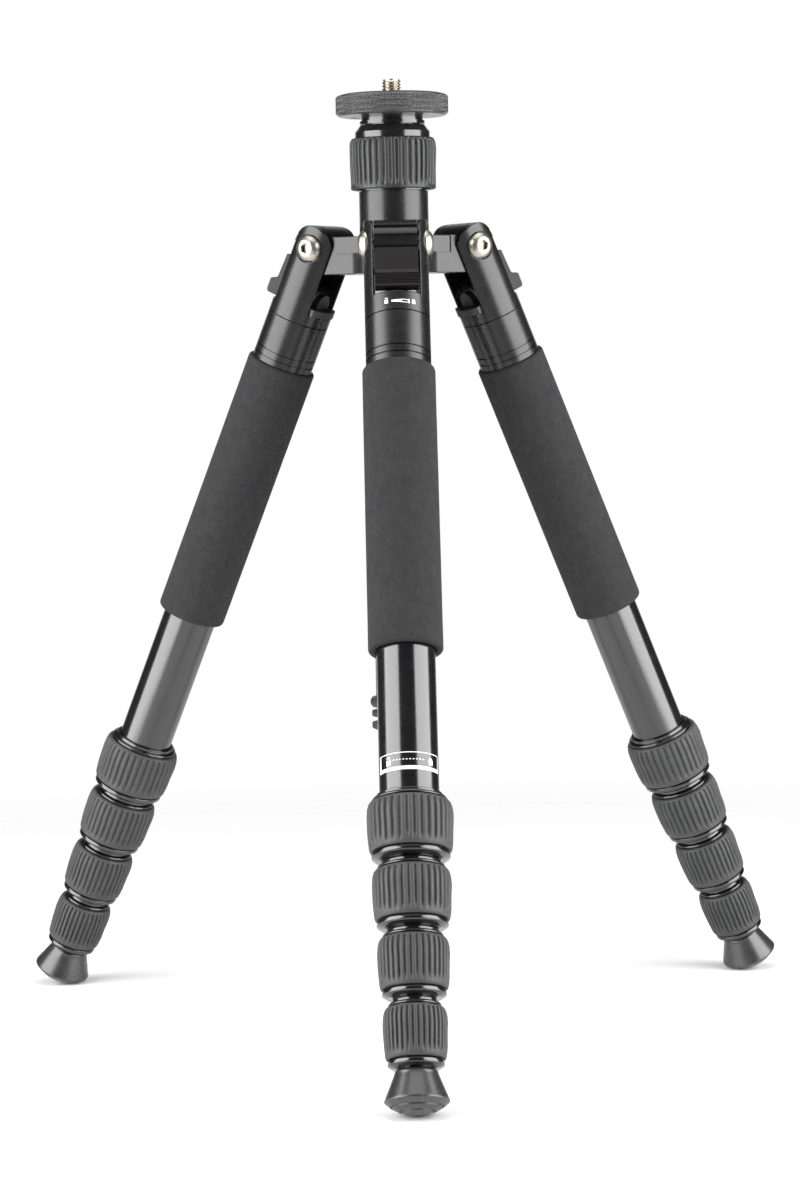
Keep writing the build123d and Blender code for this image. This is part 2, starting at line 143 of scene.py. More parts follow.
def surface(name, points, closed_rows, smooth_angle=35):
    """A closed mesh over a grid of points: columns wrap round, rows wrap round too if closed_rows, and
    a row whose points all meet becomes one pole. Faces are turned outwards by the sign of the volume."""
    rows, columns = points.shape[:2]
    index = np.arange(rows * columns).reshape(rows, columns)
    meets = np.ptp(points, axis=1).max(axis=1) < 1e-9
    index[meets] = index[meets][:, :1]
    lower = index if closed_rows else index[:-1]
    upper = np.roll(index, -1, axis=0) if closed_rows else index[1:]
    quads = np.stack([lower, np.roll(lower, -1, axis=1), np.roll(upper, -1, axis=1), upper], axis=-1)
    quads = quads.reshape(-1, 4)
    used, compact = np.unique(quads, return_inverse=True)
    quads = compact.reshape(-1, 4)
    corners = points.reshape(-1, 3)[used]
    first = corners[quads[:, 0]]
    volume = np.einsum("ij,ij->i", first, np.cross(corners[quads[:, 1]], corners[quads[:, 2]])).sum()
    volume += np.einsum("ij,ij->i", first, np.cross(corners[quads[:, 2]], corners[quads[:, 3]])).sum()
    if volume < 0:
        quads = quads[:, ::-1]
    faces = [tuple(dict.fromkeys(face)) for face in quads.tolist()]
    mesh = bpy.data.meshes.new(name)
    mesh.from_pydata(corners, [], [face for face in faces if len(face) > 2])
    mesh.polygons.foreach_set("use_smooth", [True] * len(mesh.polygons))
    mesh.set_sharp_from_angle(angle=math.radians(smooth_angle))
    mesh.validate()
    piece = bpy.data.objects.new(name, mesh)
    bpy.context.scene.collection.objects.link(piece)
    return piece


def turned(name, place, outline, around, relief=None, closed=True, smooth_angle=35):
    """A surface of revolution: each outline point (radius, height) is carried round the frame's axis.
    relief(angle, height, radius) is added to the radius."""
    outline = np.asarray(outline, float)
    angle = np.linspace(0, 2 * math.pi, around, endpoint=False)[None, :]
    radius, height = outline[:, :1], outline[:, 1:]
    reach = radius + (relief(angle, height, radius) if relief else 0 * angle)
    points = np.stack([reach * np.cos(angle), reach * np.sin(angle), height + 0 * angle], axis=-1)
    return surface(name, place.place(points), closed, smooth_angle)


def ramp(value, start, end):
    """0 before start, 1 after end, and a smooth step between them."""
    t = np.clip((value - start) / (end - start), 0, 1)
    return t * t * (3 - 2 * t)


def waves(seed, count, first, second):
    """Smooth unevenness between about -1 and 1: a sum of count sine waves with seeded directions and
    phases over an angle (whole turns) and a length in metres."""
    random = np.random.default_rng(seed)
    total = 0
    for _ in range(count):
        turns = random.integers(1, 9)
        total = total + np.sin(turns * first + second * random.uniform(-300, 300) + random.uniform(0, 6.28))
    return total / count


# ---- Materials -----------------------------------------------------------------------------

def add(tree, kind, links=None, **values):
    """A new node. values set its properties or, with spaces as underscores, its inputs; links join
    its inputs, by name, to other nodes' outputs."""
    made = tree.nodes.new(kind)
    for key, value in values.items():
        if hasattr(made, key):
            setattr(made, key, value)
        else:
            made.inputs[key.replace("_", " ")].default_value = value
    for key, output in (links or {}).items():
        tree.links.new(output, made.inputs[key])
    return made


def group(name, inputs, outputs):
    """An empty node group with named sockets, and its input and output nodes."""
    tree = bpy.data.node_groups.new(name, "ShaderNodeTree")
    for label, kind, default in inputs:
        socket = tree.interface.new_socket(label, in_out="INPUT", socket_type=kind)
        if default is not None:
            socket.default_value = default
    for label, kind in outputs:
        tree.interface.new_socket(label, in_out="OUTPUT", socket_type=kind)
    return tree, tree.nodes.new("NodeGroupInput").outputs, tree.nodes.new("NodeGroupOutput").inputs


def remap(tree, value, low, high, to_low, to_high):
    """A Map Range node over value, clamped."""
    made = add(tree, "ShaderNodeMapRange", {"Value": value})
    for socket, number in zip(("From Min", "From Max", "To Min", "To Max"), (low, high, to_low, to_high)):
        if hasattr(number, "links"):
            tree.links.new(number, made.inputs[socket])
        else:
            made.inputs[socket].default_value = number
    return made.outputs["Result"]


def mix_colour(tree, factor, first, second):
    """A colour Mix node's result."""
    made = tree.nodes.new("ShaderNodeMix")
    made.data_type = "RGBA"
    for socket, value in ((made.inputs[0], factor), (made.inputs[6], first), (made.inputs[7], second)):
        if hasattr(value, "links"):
            tree.links.new(value, socket)
        else:
            socket.default_value = value
    return made.outputs[2]


def grain_group():
    """Fine raised grain: two octaves of noise and a cellular texture, as a height."""
    tree, given, out = group("Grain", [
        ("Vector", "NodeSocketVector", None), ("Scale", "NodeSocketFloat", 2500.0),
        ("Cells", "NodeSocketFloat", 0.5)], [("Height", "NodeSocketFloat")])
    noise = add(tree, "ShaderNodeTexNoise", {"Vector": given["Vector"], "Scale": given["Scale"]},
                Detail=4.0, Roughness=0.6)
    cells = add(tree, "ShaderNodeTexVoronoi", {"Vector": given["Vector"], "Scale": given["Scale"]})
    blend = tree.nodes.new("ShaderNodeMix")
    tree.links.new(given["Cells"], blend.inputs[0])
    tree.links.new(noise.outputs["Fac"], blend.inputs[2])
    tree.links.new(cells.outputs["Distance"], blend.inputs[3])
    tree.links.new(blend.outputs[0], out["Height"])
    return tree


def tone_group():
    """Uneven tone: broad cloudy noise blends a colour towards a second one."""
    tree, given, out = group("Tone", [
        ("Vector", "NodeSocketVector", None), ("Scale", "NodeSocketFloat", 60.0),
        ("Colour", "NodeSocketColor", (0.03, 0.03, 0.03, 1)),
        ("Second", "NodeSocketColor", (0.05, 0.05, 0.05, 1))],
        [("Colour", "NodeSocketColor"), ("Cloud", "NodeSocketFloat")])
    noise = add(tree, "ShaderNodeTexNoise", {"Vector": given["Vector"], "Scale": given["Scale"]},
                Detail=6.0, Roughness=0.65)
    cloud = remap(tree, noise.outputs["Fac"], 0.35, 0.65, 0.0, 1.0)
    tree.links.new(mix_colour(tree, cloud, given["Colour"], given["Second"]), out["Colour"])
    tree.links.new(cloud, out["Cloud"])
    return tree


def dust_group():
    """Sparse specks of dust: small dots in the few cells whose random value is low."""
    tree, given, out = group("Dust", [
        ("Vector", "NodeSocketVector", None), ("Scale", "NodeSocketFloat", 700.0),
        ("Amount", "NodeSocketFloat", 0.1), ("Size", "NodeSocketFloat", 0.2)], [("Mask", "NodeSocketFloat")])
    cells = add(tree, "ShaderNodeTexVoronoi", {"Vector": given["Vector"], "Scale": given["Scale"]})
    dot = add(tree, "ShaderNodeMath", {0: cells.outputs["Distance"], 1: given["Size"]}, operation="LESS_THAN")
    pick = add(tree, "ShaderNodeSeparateColor", {0: cells.outputs["Color"]})
    few = add(tree, "ShaderNodeMath", {0: pick.outputs[0], 1: given["Amount"]}, operation="LESS_THAN")
    both = add(tree, "ShaderNodeMath", {0: dot.outputs[0], 1: few.outputs[0]}, operation="MULTIPLY")
    tree.links.new(both.outputs[0], out["Mask"])
    return tree


def polish_group():
    """Uneven polish: noise moves the roughness between two values."""
    tree, given, out = group("Polish", [
        ("Vector", "NodeSocketVector", None), ("Scale", "NodeSocketFloat", 150.0),
        ("Low", "NodeSocketFloat", 0.2), ("High", "NodeSocketFloat", 0.3)],
        [("Roughness", "NodeSocketFloat")])
    noise = add(tree, "ShaderNodeTexNoise", {"Vector": given["Vector"], "Scale": given["Scale"]},
                Detail=5.0, Roughness=0.7)
    tree.links.new(remap(tree, noise.outputs["Fac"], 0.3, 0.7, given["Low"], given["High"]), out["Roughness"])
    return tree


GROUPS = {}


def shared(name):
    """One of the shared node groups, built when it is first asked for."""
    builders = {"Grain": grain_group, "Tone": tone_group, "Dust": dust_group, "Polish": polish_group}
    if name not in GROUPS:
        GROUPS[name] = builders[name]()
    return GROUPS[name]


def use(tree, name, vector, **values):
    """A shared group placed in a material with its own values."""
    made = tree.nodes.new("ShaderNodeGroup")
    made.node_tree = shared(name)
    tree.links.new(vector, made.inputs["Vector"])
    for key, value in values.items():
        made.inputs[key].default_value = value
    return made.outputs


def grey(level, warm=0.0):
    """A near-neutral colour."""
    return (level * (1 + warm), level, level * (1 - warm), 1)


def finish_material(name, colour, second, rough, grain, bump, metallic=0.0, dust=0.0, dust_colour=0.25,
                    tone_scale=60.0, cells=0.5, specular=0.5, sheen=0.0, dust_scale=700.0):
    """A procedural finish. rough is its lowest and highest roughness, grain the scale of its raised
    grain, bump the height of it in metres, and dust the share of cells that hold a speck."""
    material = bpy.data.materials.new(name)
    material.use_nodes = True
    tree = material.node_tree
    shader = tree.nodes["Principled BSDF"]
    where = tree.nodes.new("ShaderNodeTexCoord").outputs["Object"]
    tone = use(tree, "Tone", where, Scale=tone_scale, Colour=colour, Second=second)
    base = tone["Colour"]
    if dust:
        specks = use(tree, "Dust", where, Scale=dust_scale, Amount=dust)
        base = mix_colour(tree, specks["Mask"], base, grey(dust_colour))
    tree.links.new(base, shader.inputs["Base Color"])
    polish = use(tree, "Polish", where, Low=rough[0], High=rough[1])
    tree.links.new(polish["Roughness"], shader.inputs["Roughness"])
    raised = use(tree, "Grain", where, Scale=grain, Cells=cells)
    relief = add(tree, "ShaderNodeBump", {"Height": raised["Height"]}, Strength=1.0, Distance=bump)
    tree.links.new(relief.outputs["Normal"], shader.inputs["Normal"])
    shader.inputs["Metallic"].default_value = metallic
    shader.inputs["Specular IOR Level"].default_value = specular
    shader.inputs["Sheen Weight"].default_value = sheen
    return material


def dress(node, material):
    """Gives a CAD node its finish."""
    piece = frame["nodes"][node]
    piece.data.materials.clear()
    piece.data.materials.append(material)


def fit_out(piece, body, slot, material, *nodes):
    """Gives a new piece its finish and its body, and hides the CAD nodes it stands for."""
    piece.data.materials.append(material)
    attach(piece, body)
    if nodes:
        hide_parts(*nodes)


# ---- Settings --------------------------------------------------------------------------------

class TripodMetalSettings(bpy.types.PropertyGroup):
    gloss: FloatVectorProperty(
        name="Gloss Black", description="Colour of the leg tubes, the column and the lock nuts",
        default=(0.005, 0.005, 0.006), subtype="COLOR")
    satin: FloatVectorProperty(
        name="Satin Black", description="Colour of the spider, shoulders and collars",
        default=(0.005, 0.005, 0.006), subtype="COLOR")
    steel: FloatVectorProperty(
        name="Steel", description="Colour of the hinge screws and the head screw",
        default=(0.47, 0.44, 0.38), subtype="COLOR")
    knurls: IntProperty(
        name="Knurls", description="Ridges of the head plate's diamond knurl, counted round the edge",
        default=120, min=20)
    knurl_depth: FloatProperty(
        name="Knurl Depth", description="Depth of the head plate's knurl", default=0.42 * MM, unit="LENGTH")
    thread_pitch: FloatProperty(
        name="Thread Pitch", description="Pitch of the head screw's thread",
        default=1.5875 * MM, unit="LENGTH")


class TripodRubberSettings(bpy.types.PropertyGroup):
    rubber: FloatVectorProperty(
        name="Rubber", description="Colour of the leg lock grips",
        default=(0.024, 0.025, 0.025), subtype="COLOR")
    foam: FloatVectorProperty(
        name="Foam", description="Colour of the foam grips", default=(0.017, 0.017, 0.019), subtype="COLOR")
    leg_flutes: IntProperty(
        name="Leg Lock Flutes", description="Grooves round each twist lock", default=36, min=6)
    column_flutes: IntProperty(
        name="Column Lock Flutes", description="Grooves round the column lock", default=40, min=6)
    flute_depth: FloatProperty(
        name="Flute Depth", description="Depth of the grooves", default=1.15 * MM, unit="LENGTH")


class TripodStageSettings(bpy.types.PropertyGroup):
    floor: FloatVectorProperty(
        name="Floor", description="Colour of the floor", default=(0.88, 0.88, 0.87), subtype="COLOR")
    side_light: FloatProperty(
        name="Side Light", description="Power of each of the two side softboxes, in watts",
        default=44.0, min=0)
    top_light: FloatProperty(
        name="Top Light", description="Power of the overhead softbox, in watts", default=16.0, min=0)
    distance: FloatProperty(
        name="Camera Distance", description="Distance from the column to the camera", default=1.6227,
        unit="LENGTH")
    height: FloatProperty(
        name="Camera Height", description="Height of the camera above the floor",
        default=0.3473, unit="LENGTH")


# ---- Pieces ----------------------------------------------------------------------------------

def colour(value):
    """A property's colour with its alpha."""
    return (*value, 1)


def metal_materials(scene):
    """The black and bright metal finishes."""
    metal = scene.tripod_metal
    gloss, satin, steel = colour(metal.gloss), colour(metal.satin), colour(metal.steel)
    return {
        "gloss": finish_material(
            "gloss_black", gloss, grey(0.008), (0.13, 0.20), 1800.0, 0.002 * MM,
            cells=0.1, dust=0.004, dust_colour=0.12, specular=0.8, dust_scale=FINE_DUST),
        "satin": finish_material(
            "satin_black", satin, grey(0.008), (0.24, 0.31), 5200.0, 0.004 * MM,
            cells=0.3, dust=0.006, dust_colour=0.12, specular=0.5, dust_scale=FINE_DUST),
        "anodised": finish_material(
            "anodised_black", grey(0.060), grey(0.078), (0.20, 0.30), 5000.0, 0.004 * MM,
            cells=0.2, metallic=0.6),
        "steel": finish_material(
            "turned_steel", steel, (0.38, 0.35, 0.31, 1), (0.28, 0.40), 2600.0, 0.004 * MM,
            metallic=1.0, cells=0.1, tone_scale=400.0),
        "plastic": finish_material(
            "moulded_black", grey(0.014), grey(0.019), (0.45, 0.6), 3800.0, 0.010 * MM,
            dust=0.01, dust_colour=0.15),
        "latch": finish_material(
            "latch_black", (0.006, 0.004, 0.005, 1), grey(0.006), (0.30, 0.40), 3800.0, 0.006 * MM,
            dust=0.02, dust_colour=0.12, specular=0.22, dust_scale=FINE_DUST),
    }


def rubber_materials(scene):
    """The grip rubber and the foam."""
    soft = scene.tripod_rubber
    return {
        "rubber": finish_material(
            "grip_rubber", colour(soft.rubber), grey(0.034), (0.50, 0.66), 3200.0, 0.030 * MM,
            dust=0.05, dust_colour=0.16, tone_scale=160.0, dust_scale=RUBBER_DUST),
        "foot": finish_material(
            "foot_rubber", grey(0.016), grey(0.024), (0.24, 0.34), 2600.0, 0.012 * MM,
            dust=0.03, dust_colour=0.14, tone_scale=120.0, specular=0.7, dust_scale=RUBBER_DUST),
        # Column grip: a copy of the grip rubber with a darker, slightly greener base. The green tint is the
        # rubber's own; the extra darkness is painted shade that holds the grip down under the overhead
        # softbox.
        "column": finish_material(
            "column_rubber_painted_shade", (0.007, 0.009, 0.0085, 1), grey(0.012), (0.40, 0.54), 3200.0, 0.030 * MM,
            dust=0.05, dust_colour=0.12, tone_scale=160.0, dust_scale=RUBBER_DUST),
        "foam": finish_material(
            "grip_foam", colour(soft.foam), grey(0.023), (0.85, 0.97), 1500.0, 0.14 * MM,
            dust=0.2, dust_colour=0.045, tone_scale=260.0, cells=0.8, specular=0.25, dust_scale=1100.0),
    }


MATERIALS = {}


def flutes(count, depth, start, end, outside, seed):
    """Relief of moulded grooves: count rounded grooves round the axis, each faded in after start and
    out before end by its own slightly different length, only where the radius is over outside."""
    random = np.random.default_rng(seed)
    fade_in = random.uniform(0.8, 1.6, count) * MM
    fade_out = random.uniform(3.0, 6.0, count) * MM
    strength = random.uniform(0.85, 1.0, count)

    def relief(angle, height, radius):
        turn = angle / (2 * math.pi) * count
        which = np.floor(turn).astype(int) % count
        across = np.abs(turn - np.floor(turn) - 0.5) * 2
        groove = 1 - ramp(across, 0.12, 0.58)
        along = ramp(height, start, start + fade_in[which]) * (1 - ramp(height, end - fade_out[which], end))
        lean = 0.06 * depth * np.sin(3 * angle + height * 400)
        return -(depth * strength[which] * groove * along + lean * along) * (radius > outside)
    return relief


class TRIPOD_OT_finishes(bpy.types.Operator):
    """Gives the CAD nodes that stay their metal and plastic finishes"""
    bl_idname = "tripod.finishes"
    bl_label = "Metal and Plastic Finishes"

    def execute(self, context):
        MATERIALS.update(metal_materials(context.scene))
        MATERIALS.update(rubber_materials(context.scene))
        kinds = {
            "gloss": ["column_tube", "column_lock_nut", "column_head"],
            "satin": ["spider"],
            "plastic": ["column_bush", "column_collet", "column_cap"],
            "steel": ["head_set_screw"],
            "latch": [],
        }
        for side in SIDES:
            kinds["gloss"] += [f"{side}_tube_{number}" for number in range(1, 6)]
            kinds["satin"] += [f"{side}_shoulder", f"{side}_collar"]
            kinds["steel"].append(f"{side}_hinge_bolts")
            kinds["latch"].append(f"{side}_latch")
            kinds["plastic"].append(f"{side}_latch_seat")
        for kind, nodes in kinds.items():
            for node in nodes:
                dress(node, MATERIALS[kind])
        return {"FINISHED"}


class TRIPOD_OT_foam_grips(bpy.types.Operator):
    """Builds the three foam grips, with rounded ends and a slightly uneven cut surface"""
    bl_idname = "tripod.foam_grips"
    bl_label = "Foam Grips"

    def execute(self, context):
        for seed, side in enumerate(SIDES):
            leg, node = LEGS[side], f"{side}_foam_grip"
            radius, top, bottom = leg.span(node)
            bore = SECTION_RADII[0] + RUNNING
            corners = [(bore, top), (radius, top), (radius, bottom), (bore, bottom)]
            outline = soften(corners, 1.6 * MM, steps=6)
            outline = divide(outline, 2.0 * MM)

            def relief(angle, height, reach, seed=seed):
                return 0.05 * MM * (waves(seed, 9, angle, height) - 1) * (reach > bore + 2 * MM)
            grip = turned(f"{node}_skin", leg, outline, 120, relief)
            fit_out(grip, upper_body(side), "foam", MATERIALS["foam"], node)
        return {"FINISHED"}


def nut_outline(upper, lower, grip, top, bottom):
    """Outline of a twist lock's nut, from its stepped top ring to the coned lip under the sleeve."""
    sleeve_top, sleeve_bottom = top + SLEEVE_DROP, bottom - SLEEVE_LIFT
    body = grip - 3.2 * MM
    return soften([
        (upper + RUNNING, top), (grip - 4.6 * MM, top), (grip - 4.6 * MM, top + 1.5 * MM),
        (grip - 3.1 * MM, top + 1.7 * MM), (grip - 2.6 * MM, top + 2.3 * MM),
        (grip - 2.6 * MM, top + 2.9 * MM), (grip - 3.3 * MM, top + 3.1 * MM),
        (grip - 3.3 * MM, sleeve_top), (body, sleeve_top), (body, sleeve_bottom),
        (grip - 2.9 * MM, sleeve_bottom), (grip - 2.9 * MM, sleeve_bottom + 0.5 * MM),
        (grip - 2.0 * MM, sleeve_bottom + 0.7 * MM), (grip - 1.8 * MM, sleeve_bottom + 2.5 * MM),
        (grip - 2.3 * MM, sleeve_bottom + 3.0 * MM), (grip - 4.2 * MM, bottom),
        (lower + 0.4 * MM, bottom), (lower + 0.4 * MM, bottom - 2.4 * MM),
        (upper + RUNNING, top + 25 * MM)], 0.35 * MM, steps=3)


def sleeve_outline(inside, grip, top, bottom):
    """Outline of a rubber sleeve: a full shoulder near its top and a gentle taper to its lower edge."""
    return divide(soften([
        (inside, top), (grip - 1.9 * MM, top), (grip - 0.9 * MM, top + 1.2 * MM),
        (grip - 0.25 * MM, top + 3.5 * MM), (grip, top + 7 * MM),
        (grip - 0.45 * MM, bottom - 6 * MM), (grip - 0.9 * MM, bottom - 1.4 * MM),
        (grip - 1.5 * MM, bottom), (inside, bottom)], 0.9 * MM, steps=4), 0.9 * MM)


class TRIPOD_OT_twist_locks(bpy.types.Operator):
    """Builds the twelve twist locks, each a turned nut and a fluted rubber sleeve"""
    bl_idname = "tripod.twist_locks"
    bl_label = "Twist Locks"

    def execute(self, context):
        soft = context.scene.tripod_rubber
        for side in SIDES:
            for section in range(4):
                leg, node = LEGS[side], f"{side}_lock_{section + 1}"
                grip, top, bottom = leg.span(node)
                upper, lower = SECTION_RADII[section], SECTION_RADII[section + 1]
                nut = turned(f"{node}_nut", leg, nut_outline(upper, lower, grip, top, bottom), 96)
                fit_out(nut, node, "gloss_black", MATERIALS["gloss"], node)
                inside = grip - 3.2 * MM + PRESSED
                start, end = top + SLEEVE_DROP + PRESSED, bottom - SLEEVE_LIFT - PRESSED
                relief = flutes(soft.leg_flutes, soft.flute_depth, start + 0.8 * MM, end - 1.2 * MM,
                                grip - 2.4 * MM, seed=10 * SIDES.index(side) + section)
                sleeve = turned(f"{node}_sleeve", leg, sleeve_outline(inside, grip, start, end),
                                soft.leg_flutes * 10, relief, smooth_angle=60)
                fit_out(sleeve, node, "black_rubber", MATERIALS["rubber"])
        return {"FINISHED"}


class TRIPOD_OT_column_grip(bpy.types.Operator):
    """Builds the fluted rubber grip of the column lock"""
    bl_idname = "tripod.column_grip"
    bl_label = "Column Lock Grip"

    def execute(self, context):
        soft = context.scene.tripod_rubber
        radius, bottom, top = COLUMN.span("column_lock_grip")
        inside = COLUMN.span("column_lock_nut")[0]
        outline = divide(soften([
            (inside, bottom), (radius - 0.9 * MM, bottom), (radius - 0.4 * MM, bottom + 0.6 * MM),
            (radius - 0.5 * MM, bottom + 2 * MM), (radius, top - 5.5 * MM),
            (radius - 0.25 * MM, top - 2.2 * MM), (radius - 1.1 * MM, top - 0.4 * MM),
            (radius - 1.9 * MM, top), (inside, top)], 0.7 * MM), 0.9 * MM)
        cut = flutes(soft.column_flutes, soft.flute_depth, -top + 0.7 * MM, -bottom - 0.6 * MM,
                     radius - 2.4 * MM, seed=77)
        grip = turned("column_lock_grip_fluted", COLUMN, outline, soft.column_flutes * 10,
                      lambda angle, height, reach: cut(angle, -height, reach), smooth_angle=60)
        # The column grip takes the rubber copy whose base is darkened with painted shade.
        fit_out(grip, "column_lock", "black_rubber", MATERIALS["column"], "column_lock_grip")
        return {"FINISHED"}


class TRIPOD_OT_head_plate(bpy.types.Operator):
    """Builds the head plate with its diamond knurl and the socket of its grub screw"""
    bl_idname = "tripod.head_plate"
    bl_label = "Head Plate"

    def execute(self, context):
        metal = context.scene.tripod_metal
        radius, bottom, top = COLUMN.span("head_plate")
        bore = COLUMN.span("head_screw")[0]
        knurl_bottom, knurl_top = bottom + 1.3 * MM, top - 1.5 * MM
        outline = soften([
            (bore, bottom), (radius - 1.6 * MM, bottom), (radius - 0.35 * MM, bottom + 0.9 * MM),
            (radius - 0.35 * MM, knurl_bottom - 0.2 * MM), (radius, knurl_bottom), (radius, knurl_top),
            (radius - 0.35 * MM, knurl_top + 0.2 * MM), (radius - 0.35 * MM, top - 1.0 * MM),
            (radius - 1.2 * MM, top - 0.5 * MM), (radius - 2.4 * MM, top - 0.3 * MM),
            (radius - 2.9 * MM, top), (bore + 0.54 * MM, top), (bore, top - 0.54 * MM)], 0.12 * MM, steps=2)
        edge = outline[:, 0] > radius - 0.2 * MM
        outline = np.concatenate([divide(outline[:np.argmax(edge)], 0.6 * MM, closed=False),
                                  divide(outline[edge], 0.20 * MM, closed=False),
                                  outline[len(edge) - np.argmax(edge[::-1]):]])
        pitch = 2 * math.pi * radius / metal.knurls

        def relief(angle, height, reach):
            one = angle / (2 * math.pi) * metal.knurls + height / pitch
            two = angle / (2 * math.pi) * metal.knurls - height / pitch
            ridge = np.maximum(np.abs(one % 1 - 0.5), np.abs(two % 1 - 0.5)) * 2
            band = ramp(height, knurl_bottom, knurl_bottom + 0.3 * MM)
            band = band * (1 - ramp(height, knurl_top - 0.3 * MM, knurl_top))
            return -metal.knurl_depth * ramp(ridge, 0.45, 1.0) * band * (reach > radius - 0.2 * MM)
        plate = turned("head_plate_knurled", COLUMN, outline, metal.knurls * 8, relief, smooth_angle=50)
        self.sink_socket(plate, bottom)
        fit_out(plate, "column", "black_anodised", MATERIALS["anodised"], "head_plate")
        return {"FINISHED"}

    def sink_socket(self, plate, bottom):
        """Presses the grub screw's socket into the underside: points within its radius move up."""
        screw = COLUMN.read("head_set_screw")
        centre = (screw[:, :2].min(axis=0) + screw[:, :2].max(axis=0)) / 2 + COLUMN.origin[:2]
        points = np.empty(len(plate.data.vertices) * 3)
        plate.data.vertices.foreach_get("co", points)
        points = points.reshape(-1, 3)
        away = np.hypot(*(points[:, :2] - centre).T)
        under = points[:, 2] < bottom + 0.1 * MM
        points[:, 2] += np.where(under, 1.0 * MM * (1 - ramp(away, 1.9 * MM, 2.4 * MM)), 0)
        plate.data.vertices.foreach_set("co", points.ravel())
        plate.data.update()


class TRIPOD_OT_head_screw(bpy.types.Operator):
    """Builds the head screw with its real helical thread"""
    bl_idname = "tripod.head_screw"
    bl_label = "Head Screw"

    def execute(self, context):
        pitch = context.scene.tripod_metal.thread_pitch
        radius, bottom, top = COLUMN.span("head_screw")
        start = COLUMN.span("head_plate")[2] - 2 * MM
        height = np.arange(start, top - 0.7 * MM, pitch / 14)
        wall = np.stack([np.full_like(height, radius), height], axis=-1)
        outline = np.concatenate([
            [(0, bottom), (radius - 0.6 * MM, bottom), (radius, bottom + 0.6 * MM)], wall,
            [(radius - 0.1 * MM, top - 0.65 * MM), (radius - 0.75 * MM, top),
             (radius - 1.6 * MM, top), (0, top)]])

        def relief(angle, height, reach):
            phase = (height / pitch - angle / (2 * math.pi)) % 1
            flank = 1 - np.clip(np.abs(phase - 0.5) * 2, 0.1, 0.9) / 0.9
            runs = ramp(height, start, start + 1 * MM) * (reach > radius - 0.3 * MM)
            return -0.92 * MM * flank * runs * (1 - 0.4 * ramp(height, top - 1.4 * MM, top))
        screw = turned("head_screw_threaded", COLUMN, outline, 96, relief, closed=False, smooth_angle=40)
        fit_out(screw, "column", "stainless", MATERIALS["steel"], "head_screw")
        return {"FINISHED"}


class TRIPOD_OT_feet(bpy.types.Operator):
    """Builds the three rubber feet, each a flared cone over a tread of stepped rings"""
    bl_idname = "tripod.feet"
    bl_label = "Feet"

    def execute(self, context):
        for side in SIDES:
            leg, node = LEGS[side], f"{side}_foot"
            radius, top, bottom = leg.span(node)
            rim = bottom - 6.0 * MM
            bore, seat = SECTION_RADII[-1], rim - 2 * MM
            tread = self.tread(bottom)
            outline = np.concatenate([
                [(0, seat), (bore, seat), (bore, top)],
                soften([(bore, top), (9.4 * MM, top), (10.0 * MM, top + 0.8 * MM), (10.3 * MM, top + 2 * MM),
                        (radius - 0.25 * MM, rim - 1.1 * MM), (radius, rim - 0.4 * MM),
                        (radius - 0.2 * MM, rim + 0.3 * MM), (radius - 1.3 * MM, rim + 1.1 * MM)],
                       0.6 * MM, closed=False)[1:],
                tread])
            foot = turned(f"{node}_rubber", leg, outline, 120, closed=False, smooth_angle=40)
            fit_out(foot, f"{side}_section_5", "black_rubber", MATERIALS["foot"], node)
        return {"FINISHED"}

    def tread(self, bottom):
        """Outline of the domed tread: the dome's circle with two narrow grooves, down to its apex."""
        dome = 22 * MM
        radius = np.array([13.2, 12.2, 12.0, 11.6, 11.4, 10.2, 9.0, 8.2,
                           8.0, 7.6, 7.4, 6, 4.5, 3, 1.5, 0]) * MM
        height = bottom - dome + np.sqrt(dome ** 2 - radius ** 2)
        groove = np.isin(np.arange(len(radius)), (2, 3, 8, 9))
        return np.stack([radius, height - 0.7 * MM * groove], axis=-1)


# ---- Printed marks --------------------------------------------------------------------------

def printed(name, leg, radius, patches):
    """Print on a leg's round surface: each patch is a grid of (distance round, distance down) points,
    wrapped onto the cylinder and given a thickness of a few hundredths of a millimetre."""
    corners, faces, count = [], [], 0
    for patch in patches:
        patch = np.array(patch, float)
        rows, columns = patch.shape[:2]
        for lift in (0.01 * MM, 0.04 * MM):
            angle = patch[..., 0] / radius
            reach = radius + lift
            wrapped = np.stack([reach * np.sin(angle), reach * np.cos(angle), patch[..., 1]], -1)
            corners.append(wrapped.reshape(-1, 3))
        index = np.arange(rows * columns).reshape(rows, columns) + count
        top = index + rows * columns
        quads = [np.stack([g[:-1, :-1], g[:-1, 1:], g[1:, 1:], g[1:, :-1]], -1).reshape(-1, 4)
                 for g in (index[::-1], top)]
        rim = np.concatenate([index[0], index[1:, -1], index[-1, -2::-1], index[-2:0:-1, 0]])
        lifted = rim + rows * columns
        quads.append(np.stack([rim, np.roll(rim, -1), np.roll(lifted, -1), lifted], -1))
        faces.append(np.concatenate(quads))
        count += 2 * rows * columns
    corners, faces = np.concatenate(corners), np.concatenate(faces)
    mesh = bpy.data.meshes.new(name)
    mesh.from_pydata(leg.place(corners), [], faces.tolist())
    mesh.validate()
    piece = bpy.data.objects.new(name, mesh)
    bpy.context.scene.collection.objects.link(piece)
    return piece


def bar(left, right, top, bottom, right_top=None, right_bottom=None, steps=12):
    """A patch between two ends; it tapers if the right end has its own top and bottom."""
    t = np.linspace(0, 1, steps)[None, :]
    s = np.linspace(0, 1, 2)[:, None]
    upper = top + ((top if right_top is None else right_top) - top) * t
    lower = bottom + ((bottom if right_bottom is None else right_bottom) - bottom) * t
    return np.stack([left + (right - left) * t + 0 * s, upper + (lower - upper) * s], axis=-1) * MM


def arc(centre, radius, width, start, end, steps=14):
    """A curved stripe from one angle to another about a centre."""
    angle = np.radians(np.linspace(start, end, steps))[None, :]
    reach = radius + width * np.array([[-0.5], [0.5]])
    return np.stack([centre[0] + reach * np.cos(angle), centre[1] - reach * np.sin(angle)], axis=-1) * MM


